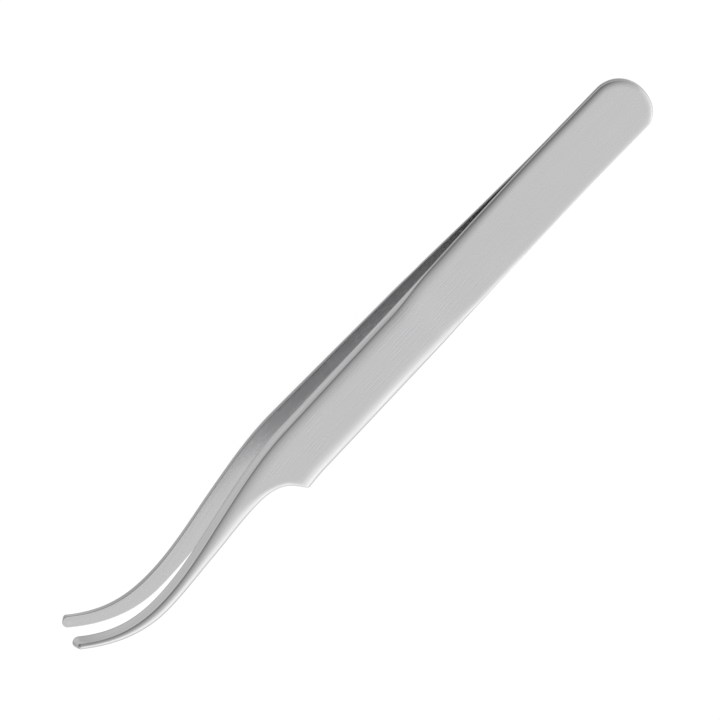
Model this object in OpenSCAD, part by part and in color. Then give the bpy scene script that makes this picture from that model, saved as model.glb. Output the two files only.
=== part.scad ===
// Precision tweezers with curved tips.
// Two spring-steel arms lie face to face at the tail, where spot welds join them.
// They bow apart along a thin spring section, thicken at a step into the finger
// grip, then narrow at a notch into a neck that sweeps sideways to round tips.
// Each arm is one blank: its outline seen from above, crossed with its side profile.
// The spring flexes about one line, so each blank is parted there by a fine gap.
//
// X runs from the tail to the tips, Y points to the notched edge, Z is up.
// The origin is at the middle of the grip face that the tweezers lie on.

/* [Handle] */
// Overall length, from the tail end to the tips
length = 120; // [117:0.5:124]
// Width of the handle where the notch cuts in
handle_w = 10; // [9:0.1:12]
// Width of the handle at the tail
tail_w = 10.2; // [9:0.1:12]
// Sideways distance of the middle of the tail from the centre line
tail_y = 0.05; // [0:0.05:0.2]
// Length of the rounded tail end, on the notched side
notched_round = 3.7; // [2:0.1:5]
// Length of the rounded tail end, on the back side
back_round = 4.6; // [2:0.1:5]
// Distance from the tail to the notch corner
notch_x = 78.4; // [76:0.1:80]

/* [Neck and tips] */
// Length of the notch, along the handle
notch_run = 7.1; // [5:0.1:8]
// Reach of the notched edge past the centre line, where the notch ends
notch_y = 0.85; // [0:0.05:1.2]
// Angle between the handle's edge and the notch at its corner, degrees
notch_angle = 54; // [45:1:80]
// Distance from the tail to where the back edge leaves the straight handle
back_bend_x = 74.5; // [60:0.5:77]
// Distance from the tail to the narrow part of the neck
narrow_x = 106; // [103:0.5:108]
// Radius of the rounded tips
tip_r = 0.95; // [0.8:0.05:1.2]
// Sideways distance of the tips from the centre line
tip_drop = 4.8; // [3.5:0.1:6]
// Angle at which the tips point off the handle, degrees
tip_angle = 45; // [38:1:50]

/* [Side profile] */
// Length of the welded tail, where the arms touch
weld_len = 13; // [11:0.5:16]
// Thickness of one arm at the tail
tail_t = 0.7; // [0.6:0.01:0.9]
// Thickness of one arm at the end of the spring section
spring_t = 0.8; // [0.7:0.01:0.9]
// Half of the gap between the arms where the spring section ends
spring_gap = 1.45; // [1.35:0.01:1.5]
// Half of the gap between the arms just past the notch corner
grip_gap = 2.67; // [2.6:0.01:2.8]
// Half of the gap between the tips
tip_gap = 3.75; // [3.7:0.05:4]
// Height of the outer grip face over the plane half-way between the arms, where the grip starts
grip_z = 3.3; // [3.2:0.05:3.4]
// Angle between the outer grip face and that plane, degrees
grip_slope = 2.55; // [2.4:0.05:2.6]
// Thickness of one arm at the tip
tip_t = 2; // [1.6:0.05:2.2]

/* [Flexure and weld] */
// Distance from the tail to the line that each arm flexes about
flex_x = 25; // [20:1:30]
// Gap across each blank at that line, for the motion
flex_gap = 0.2; // [0.15:0.05:0.4]
// Diameter of one weld nugget
nugget_d = 3.5; // [2:0.1:4.5]
// How deep one nugget reaches into each arm
nugget_depth = 0.3; // [0.2:0.05:0.4]
// Number of weld nuggets in a row along the tail
nugget_count = 2; // [1:1:2]

/* [Hidden] */

steel = [0.76, 0.76, 0.77];
nugget_steel = [0.55, 0.53, 0.50];

// Smoothness of the curves: pieces in one curve, and degrees in one step of an arc
curve_steps = 14;
arc_step = 9;
// More than the whole tool in every direction
beyond = 200;

// Distances from the tail to the stations of the side profile
spring_mid_x = 30;
step_start_x = 42.5;
grip_start_x = 50;
grip_middle_x = 64;
grip_gap_x = 81;
flat_end_x = 91.5;
// Half of the gap between the arms, and the thickness of one arm, in the middle of the spring section
spring_mid_gap = 0.56;
spring_mid_t = 0.76;
// Height of the outer face over the plane half-way between the arms, at the narrow part of the neck
neck_z = 5.5;
// Slopes of the side profile: both faces of the spring section, then each face further on
spring_slope = 0.06;
grip_gap_slope = 0.043;
tip_gap_slope = 0.02;
neck_slope = 0.02;
tip_slope = 0.05;

// Stations of the neck, seen from above, and the slope of its two edges there
notched_mid = [95.5, 1.48];
notched_mid_slope = 0.062;
notched_narrow = [narrow_x, 2.1];
notched_narrow_slope = -0.01;
back_mid = [89.5, -3.05];
back_mid_slope = 0.196;
back_narrow = [narrow_x, -0.52];

// Spacing of the weld nuggets, and distance of the first one from the tail end
nugget_pitch = 5;
first_nugget_x = 4.5;

// Points of a cubic curve from a to b, drawn towards p and then q on the way.
// The last point is left out, so that curves join end to end.
function bezier(a, p, q, b) =
    [for (i = [0 : curve_steps - 1])
        let (t = i / curve_steps, s = 1 - t)
        s*s*s * a + 3*s*s*t * p + 3*s*t*t * q + t*t*t * b];

// The same, leaving a at slope_a and arriving at b at slope_b
function curve(a, slope_a, b, slope_b) =
    let (third = (b.x - a.x) / 3)
    bezier(a, a + third * [1, slope_a], b - third * [1, slope_b], b);

function reversed(list) = [for (i = [len(list) - 1 : -1 : 0]) list[i]];

// Outline of an arm, seen from above
tail_end = [for (a = [-90 : arc_step : 90])
    let (end_round = a < 0 ? back_round : notched_round)
    [end_round * (1 - cos(a)), tail_y + tail_w / 2 * sin(a)]];

notch_corner = [notch_x, handle_w / 2];
notch_end = [notch_x + notch_run, notch_y];
notch = bezier(
    notch_corner,
    notch_corner + notch_run / 3 * [cos(notch_angle), -sin(notch_angle)],
    notch_end - [notch_run * 3 / 4, 0],
    notch_end);

tip_centre = [length - tip_r, -tip_drop];
tip_side = tip_r * [sin(tip_angle), cos(tip_angle)];
tip_sweep = -tan(tip_angle);
tip_arc = [for (a = [0 : arc_step : 180])
    tip_centre + tip_r * [cos(90 - tip_angle - a), sin(90 - tip_angle - a)]];

notched_side = concat(
    curve(notch_end, 0, notched_mid, notched_mid_slope),
    curve(notched_mid, notched_mid_slope, notched_narrow, notched_narrow_slope),
    curve(notched_narrow, notched_narrow_slope, tip_centre + tip_side, tip_sweep));

back_side = concat(
    curve([back_bend_x, -handle_w / 2], 0, back_mid, back_mid_slope),
    curve(back_mid, back_mid_slope, back_narrow, 0),
    curve(back_narrow, 0, tip_centre - tip_side, tip_sweep));

// Side profile of the upper arm, above the plane half-way between the arms
rise = tan(grip_slope);
function grip_plane(x) = grip_z + rise * (x - grip_start_x);

spring_mid_bottom = [spring_mid_x, spring_mid_gap];
spring_bottom = [step_start_x, spring_gap];
grip_bottom = [grip_gap_x, grip_gap];
tip_bottom = [length, tip_gap];
inner_face = concat(
    [[0, 0]],
    curve([weld_len, 0], 0, spring_mid_bottom, spring_slope),
    curve(spring_mid_bottom, spring_slope, spring_bottom, spring_slope),
    curve(spring_bottom, spring_slope, grip_bottom, grip_gap_slope),
    curve(grip_bottom, grip_gap_slope, tip_bottom, tip_gap_slope),
    [tip_bottom]);

spring_mid_top = spring_mid_bottom + [0, spring_mid_t];
spring_top = spring_bottom + [0, spring_t];
neck_top = [narrow_x, neck_z];
tip_top = tip_bottom + [0, tip_t];
outer_face = concat(
    [[0, tail_t]],
    curve([weld_len, tail_t], 0, spring_mid_top, spring_slope),
    curve(spring_mid_top, spring_slope, spring_top, spring_slope),
    curve(spring_top, spring_slope, [grip_start_x, grip_z], rise),
    curve([flat_end_x, grip_plane(flat_end_x)], rise, neck_top, neck_slope),
    curve(neck_top, neck_slope, tip_top, tip_slope),
    [tip_top]);

module outline() {
    polygon(concat(tail_end, notch, notched_side, tip_arc, reversed(back_side)));
}

module side_profile() {
    polygon(concat(inner_face, reversed(outer_face)));
}

// One whole arm as it is forged, from tail to tip
module blank() {
    intersection() {
        linear_extrude(beyond) outline();
        translate([0, beyond / 2, 0]) rotate([90, 0, 0]) linear_extrude(beyond) side_profile();
    }
}

module behind_flexure() {
    translate([flex_x - flex_gap / 2 - beyond, -beyond / 2, -beyond / 2]) cube(beyond);
}

module ahead_of_flexure() {
    translate([flex_x + flex_gap / 2, -beyond / 2, -beyond / 2]) cube(beyond);
}

module nuggets() {
    for (i = [0 : nugget_count - 1])
        translate([first_nugget_x + i * nugget_pitch, 0, -nugget_depth])
            cylinder(h = 2 * nugget_depth, d = nugget_d, $fn = 48);
}

module tail_leaf() {
    difference() {
        intersection() {
            blank();
            behind_flexure();
        }
        nuggets();
    }
}

module arm() {
    intersection() {
        blank();
        ahead_of_flexure();
    }
}

// Lays the pair down on the outer grip face of the lower arm
module laid_down() {
    rotate([0, -grip_slope, 0])
        translate([-grip_middle_x, 0, grip_plane(grip_middle_x)]) children();
}

module upper_tail() {
    color(steel) laid_down() tail_leaf();
}

module lower_tail() {
    color(steel) laid_down() mirror([0, 0, 1]) tail_leaf();
}

module weld_nuggets() {
    color(nugget_steel) laid_down() nuggets();
}

module upper_arm() {
    color(steel) laid_down() arm();
}

module lower_arm() {
    color(steel) laid_down() mirror([0, 0, 1]) arm();
}

upper_tail();
lower_tail();
weld_nuggets();
upper_arm();
lower_arm();
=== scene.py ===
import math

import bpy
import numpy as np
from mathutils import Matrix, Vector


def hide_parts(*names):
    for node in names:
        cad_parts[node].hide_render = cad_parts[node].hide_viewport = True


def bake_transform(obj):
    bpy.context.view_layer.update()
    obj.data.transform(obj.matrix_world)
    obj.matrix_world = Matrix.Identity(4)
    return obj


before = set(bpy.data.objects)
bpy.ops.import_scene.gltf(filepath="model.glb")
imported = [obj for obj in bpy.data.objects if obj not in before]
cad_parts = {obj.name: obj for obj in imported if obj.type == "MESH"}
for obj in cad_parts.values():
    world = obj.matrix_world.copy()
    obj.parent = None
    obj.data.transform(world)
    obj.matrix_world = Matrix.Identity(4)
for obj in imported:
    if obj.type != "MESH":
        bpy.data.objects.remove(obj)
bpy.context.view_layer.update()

# Looks of the curved-tip precision tweezers.
# Each arm is one continuous blank of satin steel. Rungs run across it from the back edge to the
# notched edge, and every rung carries a cross-section: a flat inner face with softened edges, sides
# that lean in and a flat outer face that is buffed down along both edges.

MM = 0.001

# ---------------------------------------------------------------- the blank, in millimetres
# Seen from above, x runs from the tail to the tip and y points to the notched edge
LENGTH = 120.0
HALF_WIDTH = 5.0
TAIL_WIDTH = 10.2
TAIL_Y = 0.05
NOTCHED_ROUND = 3.7
BACK_ROUND = 4.6
NOTCH_X = 78.4
NOTCH_RUN = 7.1
NOTCH_Y = 0.85
NOTCH_ANGLE = math.radians(54)
NARROW_X = 106.0
TIP_RADIUS = 0.95
TIP_DROP = 4.8
TIP_ANGLE = math.radians(45)
# How far the notch corner is rounded off
CORNER = 0.35

TIP_CENTRE = np.array([LENGTH - TIP_RADIUS, -TIP_DROP])
TIP_SIDE = TIP_RADIUS * np.array([math.sin(TIP_ANGLE), math.cos(TIP_ANGLE)])
TIP_SLOPE = -math.tan(TIP_ANGLE)

# Each line is a chain of (x, height, slope), joined by cubic curves
BACK_BEND_X = 74.5
TAIL_NOTCHED = TAIL_Y + TAIL_WIDTH / 2
TAIL_BACK = TAIL_Y - TAIL_WIDTH / 2
NOTCHED_TAPER = (HALF_WIDTH - TAIL_NOTCHED) / (NOTCH_X - NOTCHED_ROUND)
BACK_TAPER = (-HALF_WIDTH - TAIL_BACK) / (BACK_BEND_X - BACK_ROUND)
HANDLE_LINE = [(NOTCHED_ROUND, TAIL_NOTCHED, NOTCHED_TAPER), (NOTCH_X, HALF_WIDTH, NOTCHED_TAPER)]
BACK_LINE = [
    (BACK_ROUND, TAIL_BACK, BACK_TAPER),
    (BACK_BEND_X, -HALF_WIDTH, BACK_TAPER),
    (89.5, -3.05, 0.196),
    (NARROW_X, -0.52, 0),
    (*(TIP_CENTRE - TIP_SIDE), TIP_SLOPE),
]
NECK_LINE = [
    (NOTCH_X + NOTCH_RUN, NOTCH_Y, 0),
    (95.5, 1.48, 0.062),
    (NARROW_X, 2.1, -0.01),
    (*(TIP_CENTRE + TIP_SIDE), TIP_SLOPE),
]

# Side profile of the upper arm, above the plane half-way between the arms
GRIP_START_X = 50.0
GRIP_MIDDLE_X = 64.0
FLAT_END_X = 91.5
GRIP_Z = 3.3
GRIP_SLOPE = math.radians(2.55)
WELD_X = 13.0
SPRING_MIDDLE_X = 30.0
SPRING_END_X = 42.5
SPRING_SLOPE = 0.06


def grip_plane(x):
    return GRIP_Z + math.tan(GRIP_SLOPE) * (x - GRIP_START_X)


INNER_LINE = [
    (WELD_X, 0, 0),
    (SPRING_MIDDLE_X, 0.56, SPRING_SLOPE),
    (SPRING_END_X, 1.45, SPRING_SLOPE),
    (81, 2.67, 0.043),
    (LENGTH, 3.75, 0.02),
]
OUTER_LINE = [
    (WELD_X, 0.7, 0),
    (SPRING_MIDDLE_X, 1.32, SPRING_SLOPE),
    (SPRING_END_X, 2.25, SPRING_SLOPE),
    (GRIP_START_X, GRIP_Z, math.tan(GRIP_SLOPE)),
    (FLAT_END_X, grip_plane(FLAT_END_X), math.tan(GRIP_SLOPE)),
    (NARROW_X, 5.5, 0.02),
    (LENGTH, 5.75, 0.05),
]

# Cross-section, as (x, value) pairs with straight lines between them: how far the side leans in,
# how far down and how far in the outer edge is buffed, and how flat the side is (0 bulges, 1 is flat)
BACK_LEAN = [(0, 0.08), (42, 0.08), (50, 0.5), (116.5, 0.5), (119.5, 0.53)]
BACK_BUFF_DOWN = [
    (0, 0.25), (3.5, 0.47), (33, 0.47), (45, 0.3), (90, 0.27), (116.5, 0.21), (119.5, 0.5),
]
BACK_BUFF_IN = [(0, 1.0), (30, 1.2), (50, 2.0), (90, 1.8), (108, 0.9), (118, 0.7), (119.5, 0.4)]
NOTCHED_LEAN = [(0, 0.08), (30, 0.1), (50, 0.66), (80, 0.66), (116.5, 0.56), (119.5, 0.53)]
NOTCHED_BUFF_DOWN = [
    (0, 0.25), (3.5, 0.06), (25, 0.06), (42, 0.16), (52, 0.42), (78.2, 0.42), (79, 0.25), (82, 0.25),
    (88, 0.42), (116.5, 0.42), (119.5, 0.5),
]
NOTCHED_BUFF_IN = [
    (0, 1.0), (25, 0.9), (40, 0.9), (52, 2.0), (78.2, 2.0), (79, 0.8), (82, 0.8), (88, 2.0),
    (116.5, 2.0), (119.5, 0.4),
]
FLATNESS = [(72, 0.3), (88, 1.0)]
# Radius of the softened edges of the inner face
INNER_EDGE = [(15, 0.2), (42, 0.08), (118, 0.08)]
# Width of the strip of the buffed edge, next to the side, that is drawn with close points
TIGHT_BUFF = 0.3
# Share by which the side's lean and that strip shrink at the notch corner, and how far along
CORNER_EASE = 0.45
CORNER_EASE_REACH = 2.0
# Share of half the rung that the buffing may take up on the notched side
NOTCHED_ROOM = 1.25
# How sharply the distance to the nearer edge changes over from one edge to the other
NEARER_POWER = 4

# Numbers of rungs along each stretch, and of points across the faces and round the edges
TAIL_RUNGS = 18
HANDLE_RUNGS = 110
CORNER_RUNGS = 10
NOTCH_RUNGS = 30
NECK_RUNGS = (24, 26, 34)
TIP_RUNGS = 17
OUTER_POINTS = 26
INNER_POINTS = 12
BUFF_POINTS = 12
INNER_EDGE_ANGLES = np.radians([0, 22, 45, 68, 90])
SIDE_SHARES = (0.12, 0.3, 0.5, 0.7, 0.86, 0.96)

# Attribute that holds every point's place along and across the grain
GRAIN_PLACE = "grain_place"
# Step over which the slope of the back edge is measured
SLOPE_STEP = 0.01


def along(pairs, x):
    """The value at x of a chain of (x, value) pairs."""
    xs, values = zip(*pairs)
    return np.interp(x, xs, values)


def height(line, x):
    """Height at x of a chain of (x, height, slope): flat before it starts, straight on after it ends."""
    x = np.asarray(x, float)
    result = np.full(x.shape, float(line[0][1]))
    for (x0, y0, m0), (x1, y1, m1) in zip(line, line[1:]):
        span = x1 - x0
        t = (x - x0) / span
        cubic = (
            y0 * (1 + 2 * t) * (1 - t) ** 2
            + y1 * t * t * (3 - 2 * t)
            + span * m0 * t * (1 - t) ** 2
            + span * m1 * t * t * (t - 1)
        )
        result = np.where(x >= x0, cubic, result)
    x_end, y_end, m_end = line[-1]
    return np.where(x > x_end, y_end + m_end * (x - x_end), result)


def bezier(a, p, q, b, t):
    t = t[:, None]
    return (1 - t) ** 3 * a + 3 * (1 - t) ** 2 * t * p + 3 * (1 - t) * t * t * q + t**3 * b


def steps(count):
    """count values from 0 up to, but not including, 1."""
    return np.arange(count) / count


def rungs():
    """The two ends of every rung, from the tail's end to the tip's: back edge and notched edge."""
    back, notched = [], []

    def add(back_points, notched_points):
        back.extend(back_points)
        notched.extend(notched_points)

    turn = steps(TAIL_RUNGS) * math.pi / 2
    handle_end = NOTCH_X - CORNER
    for points, end_round, side_y, line in (
        (back, BACK_ROUND, TAIL_BACK, BACK_LINE),
        (notched, NOTCHED_ROUND, TAIL_NOTCHED, HANDLE_LINE),
    ):
        y = TAIL_Y + (side_y - TAIL_Y) * np.sin(turn)
        points.extend(zip(end_round * (1 - np.cos(turn)), y))
        x = end_round + (handle_end - end_round) * steps(HANDLE_RUNGS)
        points.extend(zip(x, height(line, x)))

    corner = np.array([NOTCH_X, HALF_WIDTH])
    notch_end = np.array([NOTCH_X + NOTCH_RUN, NOTCH_Y])
    into_notch = np.array([math.cos(NOTCH_ANGLE), -math.sin(NOTCH_ANGLE)])
    first_handle = corner + NOTCH_RUN / 3 * into_notch
    second_handle = notch_end - np.array([NOTCH_RUN * 3 / 4, 0])
    t_start = CORNER / NOTCH_RUN
    notch_start = bezier(corner, first_handle, second_handle, notch_end, np.array([t_start]))[0]

    t = steps(CORNER_RUNGS)
    corner_points = (
        np.outer((1 - t) ** 2, corner - np.array([CORNER, 0]))
        + np.outer(2 * t * (1 - t), corner)
        + np.outer(t * t, notch_start)
    )
    x = np.linspace(NOTCH_X - CORNER, notch_start[0] + CORNER, CORNER_RUNGS + 1)[:-1]
    add(zip(x, height(BACK_LINE, x)), corner_points)

    t = t_start + (1 - t_start) * steps(NOTCH_RUNGS)
    notch_points = bezier(corner, first_handle, second_handle, notch_end, t)
    x = notch_start[0] + CORNER + (notch_end[0] - notch_start[0] - CORNER) * steps(NOTCH_RUNGS)
    add(zip(x, height(BACK_LINE, x)), notch_points)

    for first, count in enumerate(NECK_RUNGS):
        start_x, end_x = NECK_LINE[first][0], NECK_LINE[first + 1][0]
        back_end_x = BACK_LINE[-1][0] if first == len(NECK_RUNGS) - 1 else end_x
        x = start_x + (end_x - start_x) * steps(count)
        back_x = start_x + (back_end_x - start_x) * steps(count)
        add(zip(back_x, height(BACK_LINE, back_x)), zip(x, height(NECK_LINE, x)))

    turn = np.linspace(0, math.pi / 2, TIP_RUNGS)
    for side, points in ((-1, back), (1, notched)):
        angle = side * (math.pi / 2 - turn) - TIP_ANGLE
        arc = TIP_CENTRE + TIP_RADIUS * np.stack([np.cos(angle), np.sin(angle)], 1)
        points.extend(arc)
    return np.array(back, float), np.array(notched, float)


def outward(back, notched):
    """Unit normals of the outline at both ends of every rung."""
    loop = np.concatenate([notched, back[-2:0:-1]])
    ahead = np.roll(loop, -1, 0) - loop
    behind = loop - np.roll(loop, 1, 0)
    ahead /= np.linalg.norm(ahead, axis=1)[:, None]
    behind /= np.linalg.norm(behind, axis=1)[:, None]
    tangent = ahead + behind
    tangent /= np.linalg.norm(tangent, axis=1)[:, None]
    normal = np.stack([-tangent[:, 1], tangent[:, 0]], 1)
    count = len(back)
    notched_normal = normal[:count]
    back_normal = np.concatenate([normal[:1], normal[count:][::-1], normal[count - 1 : count]])
    return back_normal, notched_normal


class EdgeShape:
    """Cross-section at one end of every rung: softened inner edge, leaning side, buffed outer edge.

    The buffed edge is a quadratic curve. It leaves the side along its own lean, and runs a long
    way in before it is level with the outer face.
    """

    def __init__(self, points, lean, buff_down, buff_in, half_width, ease):
        x = points[:, 0]
        self.thickness = height(OUTER_LINE, x) - height(INNER_LINE, x)
        self.lean = along(lean, x) * ease
        self.flatness = along(FLATNESS, x)
        self.foot = along(INNER_EDGE, x)
        self.down = along(buff_down, x)
        side_height = self.thickness - self.foot
        self.side_end = 1 - self.down / side_height
        self.side_inset = self.side(self.side_end)
        steepness = self.flatness + 2 * (1 - self.flatness) * self.side_end
        self.turn_in = self.lean * steepness * self.down / side_height
        room = half_width - self.side_inset - self.turn_in
        self.reach = np.minimum(along(buff_in, x), room)
        self.tight = TIGHT_BUFF * ease

    def side(self, up):
        """How far in the side is, at a share of its height: from a bulging side to a flat one."""
        return self.lean * (self.flatness * up + (1 - self.flatness) * up**2)

    def drop(self, distance):
        """How far the surface is below the outer face, at a distance in from the buffing's start."""
        bend = self.reach - self.turn_in
        share = (np.sqrt(self.turn_in**2 + bend * distance) - self.turn_in) / bend
        return self.down * (1 - np.clip(share, 0, 1)) ** 2

    def section(self):
        """(inset, height) pairs from the inner face, up the side, to the start of the outer face."""
        pairs = []
        for angle in INNER_EDGE_ANGLES:
            pairs.append((self.foot * (1 - np.sin(angle)), self.foot * (1 - np.cos(angle))))
        for share in SIDE_SHARES:
            up = share * self.side_end
            pairs.append((self.side(up), self.foot + (self.thickness - self.foot) * up))
        for share in np.linspace(0, 1, BUFF_POINTS) ** 2:
            distance = share * self.tight
            pairs.append((self.side_inset + distance, self.thickness - self.drop(distance)))
        return pairs


def edge_rows(points, normals, shape):
    """The cross-section at one end of every rung, placed on the blank."""
    placed = []
    for inset, rise in shape.section():
        xy = points - normals * inset[:, None]
        own = height(OUTER_LINE, xy[:, 0]) - height(INNER_LINE, xy[:, 0])
        z = height(INNER_LINE, xy[:, 0]) + rise * own / shape.thickness
        placed.append(np.column_stack([xy, z]))
    return np.stack(placed, 1)


def nearer_of(first, second):
    """The smaller of two distances, changing over gently where they are about the same."""
    return first + second - (first**NEARER_POWER + second**NEARER_POWER) ** (1 / NEARER_POWER)


def straightened(points):
    """The points with the sweep of the neck taken out, so that the grain can follow it."""
    x = points[:, 0]
    line = height(BACK_LINE, x)
    slope = (height(BACK_LINE, x + SLOPE_STEP) - line) / SLOPE_STEP
    return np.column_stack([x, (points[:, 1] - line) / np.hypot(1, slope), points[:, 2]])


def across(count):
    """Shares of the way across a rung, closer together near both edges."""
    return (1 - np.cos(np.linspace(0, math.pi, count + 1)[1:-1])) / 2


def outer_face(back_edge, notched_edge, normals, shapes):
    """Points across the outer face of every rung, between the two buffed edges."""
    start, end = back_edge[:, -1], notched_edge[:, -1]
    reach_across = end[:, :2] - start[:, :2]
    from_back, from_notched = (np.abs(np.sum(reach_across * normal, 1)) for normal in normals)
    back_shape, notched_shape = shapes
    columns = []
    for share in across(OUTER_POINTS):
        xy = start[:, :2] + share * reach_across
        nearer = nearer_of(share * from_back, (1 - share) * from_notched)
        notched_part = share**NEARER_POWER / (share**NEARER_POWER + (1 - share) ** NEARER_POWER)
        z = height(OUTER_LINE, xy[:, 0])
        z -= (1 - notched_part) * back_shape.drop(back_shape.tight + nearer)
        z -= notched_part * notched_shape.drop(notched_shape.tight + nearer)
        columns.append(np.column_stack([xy, z]))
    return np.stack(columns, 1)


def inner_face(back_edge, notched_edge):
    """Points across the inner face of every rung, from the notched edge to the back edge."""
    start, end = notched_edge[:, 0], back_edge[:, 0]
    columns = []
    for share in across(INNER_POINTS):
        xy = start[:, :2] + share * (end[:, :2] - start[:, :2])
        columns.append(np.column_stack([xy, height(INNER_LINE, xy[:, 0])]))
    return np.stack(columns, 1)


def blank_points():
    """The closed cross-section of every rung, and the number of points round one edge of it."""
    back, notched = rungs()
    normals = outward(back, notched)
    rung_half = np.maximum(np.linalg.norm(notched - back, axis=1) / 2, TIP_RADIUS)
    near_corner = np.exp(-(((notched[:, 0] - NOTCH_X) / CORNER_EASE_REACH) ** 2))
    back_ease = np.ones(len(back))
    notched_ease = 1 - CORNER_EASE * near_corner
    notched_room = NOTCHED_ROOM * rung_half
    shapes = (
        EdgeShape(back, BACK_LEAN, BACK_BUFF_DOWN, BACK_BUFF_IN, rung_half, back_ease),
        EdgeShape(notched, NOTCHED_LEAN, NOTCHED_BUFF_DOWN, NOTCHED_BUFF_IN, notched_room, notched_ease),
    )
    back_edge = edge_rows(back, normals[0], shapes[0])
    notched_edge = edge_rows(notched, normals[1], shapes[1])
    outer = outer_face(back_edge, notched_edge, normals, shapes)
    inner = inner_face(back_edge, notched_edge)
    return np.concatenate([back_edge, outer, notched_edge[:, ::-1], inner], 1), back_edge.shape[1]


def blank_faces(section, edge):
    """Points and faces of the skin over all rungs. The first and last rung have no width."""
    rows, columns = section.shape[:2]
    outer_end = edge + OUTER_POINTS
    number = np.arange(rows * columns).reshape(rows, columns)
    for row in (0, rows - 1):
        number[row, edge:outer_end] = number[row, edge - 1]
        number[row, outer_end : outer_end + edge] = number[row, :edge][::-1]
        number[row, outer_end + edge :] = number[row, 0]

    faces = []
    for this, ahead in zip(number, number[1:]):
        for column in range(columns):
            after = (column + 1) % columns
            loop = [this[column], ahead[column], ahead[after], this[after]]
            corners = [v for i, v in enumerate(loop) if v != loop[i - 1]]
            if len(corners) > 2:
                faces.append(corners)

    points = section.reshape(-1, 3)
    used = np.zeros(len(points), bool)
    used[[v for face in faces for v in face]] = True
    renumber = np.cumsum(used) - 1
    return points[used], [[int(renumber[v]) for v in face] for face in faces]


def blank_piece(name, mirrored):
    """One whole arm, tail to tip."""
    points, faces = blank_faces(*blank_points())
    if mirrored:
        points[:, 2] *= -1
        faces = [face[::-1] for face in faces]
    mesh = bpy.data.meshes.new(name)
    mesh.from_pydata([Vector(p) * MM for p in points], [], faces)
    mesh.transform(LAID_DOWN)
    grain_place = mesh.attributes.new(GRAIN_PLACE, "FLOAT_VECTOR", "POINT")
    grain_place.data.foreach_set("vector", (straightened(points) * MM).ravel())
    mesh.validate()
    mesh.polygons.foreach_set("use_smooth", [True] * len(mesh.polygons))
    mesh.update()
    piece = bpy.data.objects.new(name, mesh)
    bpy.context.scene.collection.objects.link(piece)
    return piece


# The pair lies on the outer grip face of the lower arm, as the CAD model does
LAID_DOWN = Matrix.Rotation(-GRIP_SLOPE, 4, "Y") @ Matrix.Translation(
    Vector((-GRIP_MIDDLE_X, 0, grip_plane(GRIP_MIDDLE_X))) * MM
)


# ---------------------------------------------------------------- materials
# Tones of the ground steel: the clouding drifts between two, the grain has darker streaks, and
# edges that are often touched are polished lighter
CLOUD_DARK = (0.755, 0.755, 0.76, 1)
CLOUD_LIGHT = (0.795, 0.795, 0.8, 1)
STREAK = (0.72, 0.72, 0.725, 1)
POLISHED = (0.84, 0.84, 0.845, 1)
# Roughness of the ground steel, and the share of it that is left where it is polished
GROUND_ROUGHNESS = (0.26, 0.32)
POLISHED_ROUGHNESS = 0.8
# Pointiness at which an edge starts to be polished, and is fully polished
POINTED = (0.51, 0.58)
# Range that most of a noise's values lie in
NOISE_MIDDLE = (0.35, 0.65)
WELD_DARK = (0.35, 0.34, 0.33, 1)
WELD_LIGHT = (0.55, 0.54, 0.52, 1)


def new_material(name):
    material = bpy.data.materials.new(name)
    material.use_nodes = True
    nodes = material.node_tree.nodes
    return material, nodes, material.node_tree.links, nodes["Principled BSDF"]


def ramp(nodes, stops):
    node = nodes.new("ShaderNodeValToRGB")
    elements = node.color_ramp.elements
    while len(elements) < len(stops):
        elements.new(0.5)
    for element, (position, level) in zip(elements, stops):
        element.position = position
        element.color = (level, level, level, 1)
    return node


def noise(nodes, links, place, stretch, scale, detail):
    """Noise in the piece's own metres, drawn out along the axes where stretch is small."""
    mapping = nodes.new("ShaderNodeMapping")
    mapping.inputs["Scale"].default_value = stretch
    texture = nodes.new("ShaderNodeTexNoise")
    texture.inputs["Scale"].default_value = scale
    texture.inputs["Detail"].default_value = detail
    links.new(place, mapping.inputs["Vector"])
    links.new(mapping.outputs["Vector"], texture.inputs["Vector"])
    return texture.outputs["Fac"]


def remap(nodes, links, value, low, high, start=0.0, end=1.0):
    """Carries value from the range start..end over to the range low..high."""
    node = nodes.new("ShaderNodeMapRange")
    node.inputs["From Min"].default_value = start
    node.inputs["From Max"].default_value = end
    node.inputs["To Min"].default_value = low
    node.inputs["To Max"].default_value = high
    links.new(value, node.inputs["Value"])
    return node.outputs["Result"]


def blend_colour(nodes, links, factor, colour_a, colour_b):
    """Mixes two colours; either may be a constant or another node's output."""
    node = nodes.new("ShaderNodeMix")
    node.data_type = "RGBA"
    links.new(factor, node.inputs["Factor"])
    for name, colour in (("A", colour_a), ("B", colour_b)):
        if isinstance(colour, tuple):
            node.inputs[name].default_value = colour
        else:
            links.new(colour, node.inputs[name])
    return node.outputs["Result"]


def multiply(nodes, links, first, second):
    node = nodes.new("ShaderNodeMath")
    node.operation = "MULTIPLY"
    links.new(first, node.inputs[0])
    links.new(second, node.inputs[1])
    return node.outputs["Value"]


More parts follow.
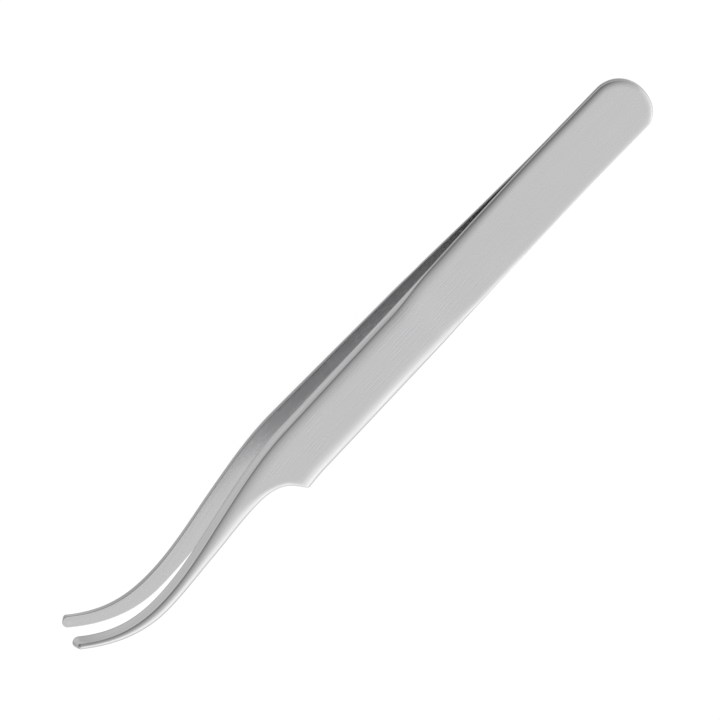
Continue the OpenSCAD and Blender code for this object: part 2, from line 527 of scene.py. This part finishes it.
def satin_steel():
    """Ground stainless steel: lengthwise grain, faint clouding, edges polished by handling."""
    material, nodes, links, shader = new_material("satin_steel")
    shader.inputs["Metallic"].default_value = 1.0
    grain_place = nodes.new("ShaderNodeAttribute")
    grain_place.attribute_name = GRAIN_PLACE
    place = grain_place.outputs["Vector"]
    fine_grain = noise(nodes, links, place, stretch=(0.05, 1, 1), scale=9000, detail=3)
    coarse_grain = noise(nodes, links, place, stretch=(0.025, 1, 1), scale=2600, detail=4)
    cloud = noise(nodes, links, place, stretch=(0.4, 1, 1), scale=160, detail=4)
    patches = noise(nodes, links, place, stretch=(0.5, 1, 1), scale=700, detail=3)

    ridges = nodes.new("ShaderNodeNewGeometry").outputs["Pointiness"]
    sharp = remap(nodes, links, ridges, 0, 1, *POINTED)
    worn = multiply(nodes, links, sharp, remap(nodes, links, patches, 0, 1, *NOISE_MIDDLE))

    clouded = blend_colour(nodes, links, cloud, CLOUD_DARK, CLOUD_LIGHT)
    grain_share = remap(nodes, links, coarse_grain, 0, 0.5, *NOISE_MIDDLE)
    streaked = blend_colour(nodes, links, grain_share, clouded, STREAK)
    edged = blend_colour(nodes, links, worn, streaked, POLISHED)
    links.new(edged, shader.inputs["Base Color"])

    ground = remap(nodes, links, coarse_grain, *GROUND_ROUGHNESS, *NOISE_MIDDLE)
    polish = remap(nodes, links, worn, 1.0, POLISHED_ROUGHNESS)
    links.new(multiply(nodes, links, ground, polish), shader.inputs["Roughness"])

    bump = nodes.new("ShaderNodeBump")
    bump.inputs["Strength"].default_value = 0.09
    bump.inputs["Distance"].default_value = 0.00002
    links.new(fine_grain, bump.inputs["Height"])
    links.new(bump.outputs["Normal"], shader.inputs["Normal"])
    return material


def weld_steel():
    """Fused weld metal: darker, uneven and blotched."""
    material, nodes, links, shader = new_material("weld_steel")
    shader.inputs["Metallic"].default_value = 1.0
    place = nodes.new("ShaderNodeTexCoord").outputs["Object"]
    blotches = noise(nodes, links, place, stretch=(1, 1, 1), scale=2500, detail=5)
    tone = blend_colour(nodes, links, blotches, WELD_DARK, WELD_LIGHT)
    links.new(tone, shader.inputs["Base Color"])
    links.new(remap(nodes, links, blotches, 0.35, 0.6), shader.inputs["Roughness"])
    bump = nodes.new("ShaderNodeBump")
    bump.inputs["Strength"].default_value = 0.2
    bump.inputs["Distance"].default_value = 0.00005
    links.new(blotches, bump.inputs["Height"])
    links.new(bump.outputs["Normal"], shader.inputs["Normal"])
    return material


def floor_paint():
    material, nodes, links, shader = new_material("studio_floor")
    shader.inputs["Roughness"].default_value = 0.9
    shader.inputs["Base Color"].default_value = (0.12, 0.12, 0.12, 1)
    shader.inputs["Emission Color"].default_value = (1, 1, 1, 1)
    shader.inputs["Emission Strength"].default_value = 0.96
    return material


# ---------------------------------------------------------------- the pieces
STEEL = satin_steel()
for side, mirrored in (("upper", False), ("lower", True)):
    blank = blank_piece(f"{side}_blank", mirrored)
    blank.data.materials.append(STEEL)
    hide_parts(f"{side}_tail", f"{side}_arm")
    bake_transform(blank)

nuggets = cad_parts["weld_nuggets"]
nuggets.data.materials.clear()
nuggets.data.materials.append(weld_steel())


# ---------------------------------------------------------------- studio
FLOOR_REACH = 3.0
# The floor lies a hair under the lower arm, so that the two surfaces don't coincide
FLOOR_Z = -0.00002


def add_floor():
    mesh = bpy.data.meshes.new("floor")
    corners = [(x * FLOOR_REACH, y * FLOOR_REACH, 0) for x, y in ((-1, -1), (1, -1), (1, 1), (-1, 1))]
    mesh.from_pydata(corners, [], [(0, 1, 2, 3)])
    mesh.materials.append(floor_paint())
    floor = bpy.data.objects.new("floor", mesh)
    bpy.context.scene.collection.objects.link(floor)
    floor.location.z = FLOOR_Z
    floor.visible_glossy = False


# Brightness of the sky round the handle, as (degrees, level) pairs. The degrees start at the
# notched side's horizon and run up over the top; below that horizon they are negative.
SKY = [
    (-180, 0.3), (-168, 0.42), (-156, 0.62), (-146, 0.7), (-136, 0.68), (-126, 0.5), (-115, 0.32),
    (-100, 0.34), (-86, 0.5), (-74, 0.75), (-64, 0.85), (-45, 0.82), (-25, 0.74), (0, 0.68),
    (14, 0.76), (24, 0.93), (32, 1.15), (40, 1.3), (47, 1.28), (53, 1.1), (57, 0.92), (60, 0.79),
    (64, 0.66), (69, 0.58), (79, 0.49), (88, 0.41), (100, 0.33), (110, 0.27), (130, 0.2),
    (165, 0.2), (180, 0.3),
]
# Brightness of the sky off the tail and off the tips, and how narrowly it is gathered there
SKY_ENDS = 0.55
SKY_ENDS_POWER = 3


def add_sky():
    """A soft surround that is brightest high on the notched side."""
    world = bpy.data.worlds.new("studio")
    bpy.context.scene.world = world
    world.use_nodes = True
    nodes, links = world.node_tree.nodes, world.node_tree.links
    background = nodes["Background"]
    place = nodes.new("ShaderNodeTexCoord")
    split = nodes.new("ShaderNodeSeparateXYZ")
    links.new(place.outputs["Generated"], split.inputs["Vector"])
    angle = nodes.new("ShaderNodeMath")
    angle.operation = "ARCTAN2"
    links.new(split.outputs["Z"], angle.inputs[0])
    links.new(split.outputs["Y"], angle.inputs[1])
    turn = nodes.new("ShaderNodeMapRange")
    turn.inputs["From Min"].default_value = -math.pi
    turn.inputs["From Max"].default_value = math.pi
    links.new(angle.outputs["Value"], turn.inputs["Value"])
    brightest = max(level for _, level in SKY)
    levels = ramp(nodes, [((degrees + 180) / 360, level / brightest) for degrees, level in SKY])
    levels.color_ramp.interpolation = "EASE"
    links.new(turn.outputs["Result"], levels.inputs["Fac"])
    ends = nodes.new("ShaderNodeMath")
    ends.operation = "POWER"
    ends.inputs[1].default_value = SKY_ENDS_POWER
    away = nodes.new("ShaderNodeMath")
    away.operation = "ABSOLUTE"
    links.new(split.outputs["X"], away.inputs[0])
    links.new(away.outputs["Value"], ends.inputs[0])
    mixed = nodes.new("ShaderNodeMix")
    mixed.data_type = "RGBA"
    mixed.inputs["B"].default_value = (SKY_ENDS / brightest,) * 3 + (1,)
    links.new(ends.outputs["Value"], mixed.inputs["Factor"])
    links.new(levels.outputs["Color"], mixed.inputs["A"])
    links.new(mixed.outputs["Result"], background.inputs["Color"])
    background.inputs["Strength"].default_value = brightest


CAMERA_AZIMUTH = math.radians(-110.9)
CAMERA_ELEVATION = math.radians(62.8)
CAMERA_ROLL = math.radians(153.93)
CAMERA_DISTANCE = 1.5
VIEW_WIDTH = 0.1085
AIM = Vector((-4.96, -1.57, 2.845)) * MM
SENSOR = 36.0
CLIP_END = 20.0


def add_camera():
    data = bpy.data.cameras.new("camera")
    data.sensor_width = SENSOR
    data.lens = SENSOR * CAMERA_DISTANCE / VIEW_WIDTH
    data.clip_end = CLIP_END
    camera = bpy.data.objects.new("camera", data)
    bpy.context.scene.collection.objects.link(camera)
    towards = Vector((
        math.cos(CAMERA_ELEVATION) * math.cos(CAMERA_AZIMUTH),
        math.cos(CAMERA_ELEVATION) * math.sin(CAMERA_AZIMUTH),
        math.sin(CAMERA_ELEVATION),
    ))
    level_right = Vector((0, 0, 1)).cross(towards).normalized()
    level_up = towards.cross(level_right)
    right = math.cos(CAMERA_ROLL) * level_right + math.sin(CAMERA_ROLL) * level_up
    up = towards.cross(right)
    camera.matrix_world = Matrix.Translation(AIM + towards * CAMERA_DISTANCE) @ Matrix(
        (right, up, towards)
    ).transposed().to_4x4()
    bpy.context.scene.camera = camera


add_floor()
add_sky()
add_camera()
bpy.context.scene.view_settings.view_transform = "Standard"
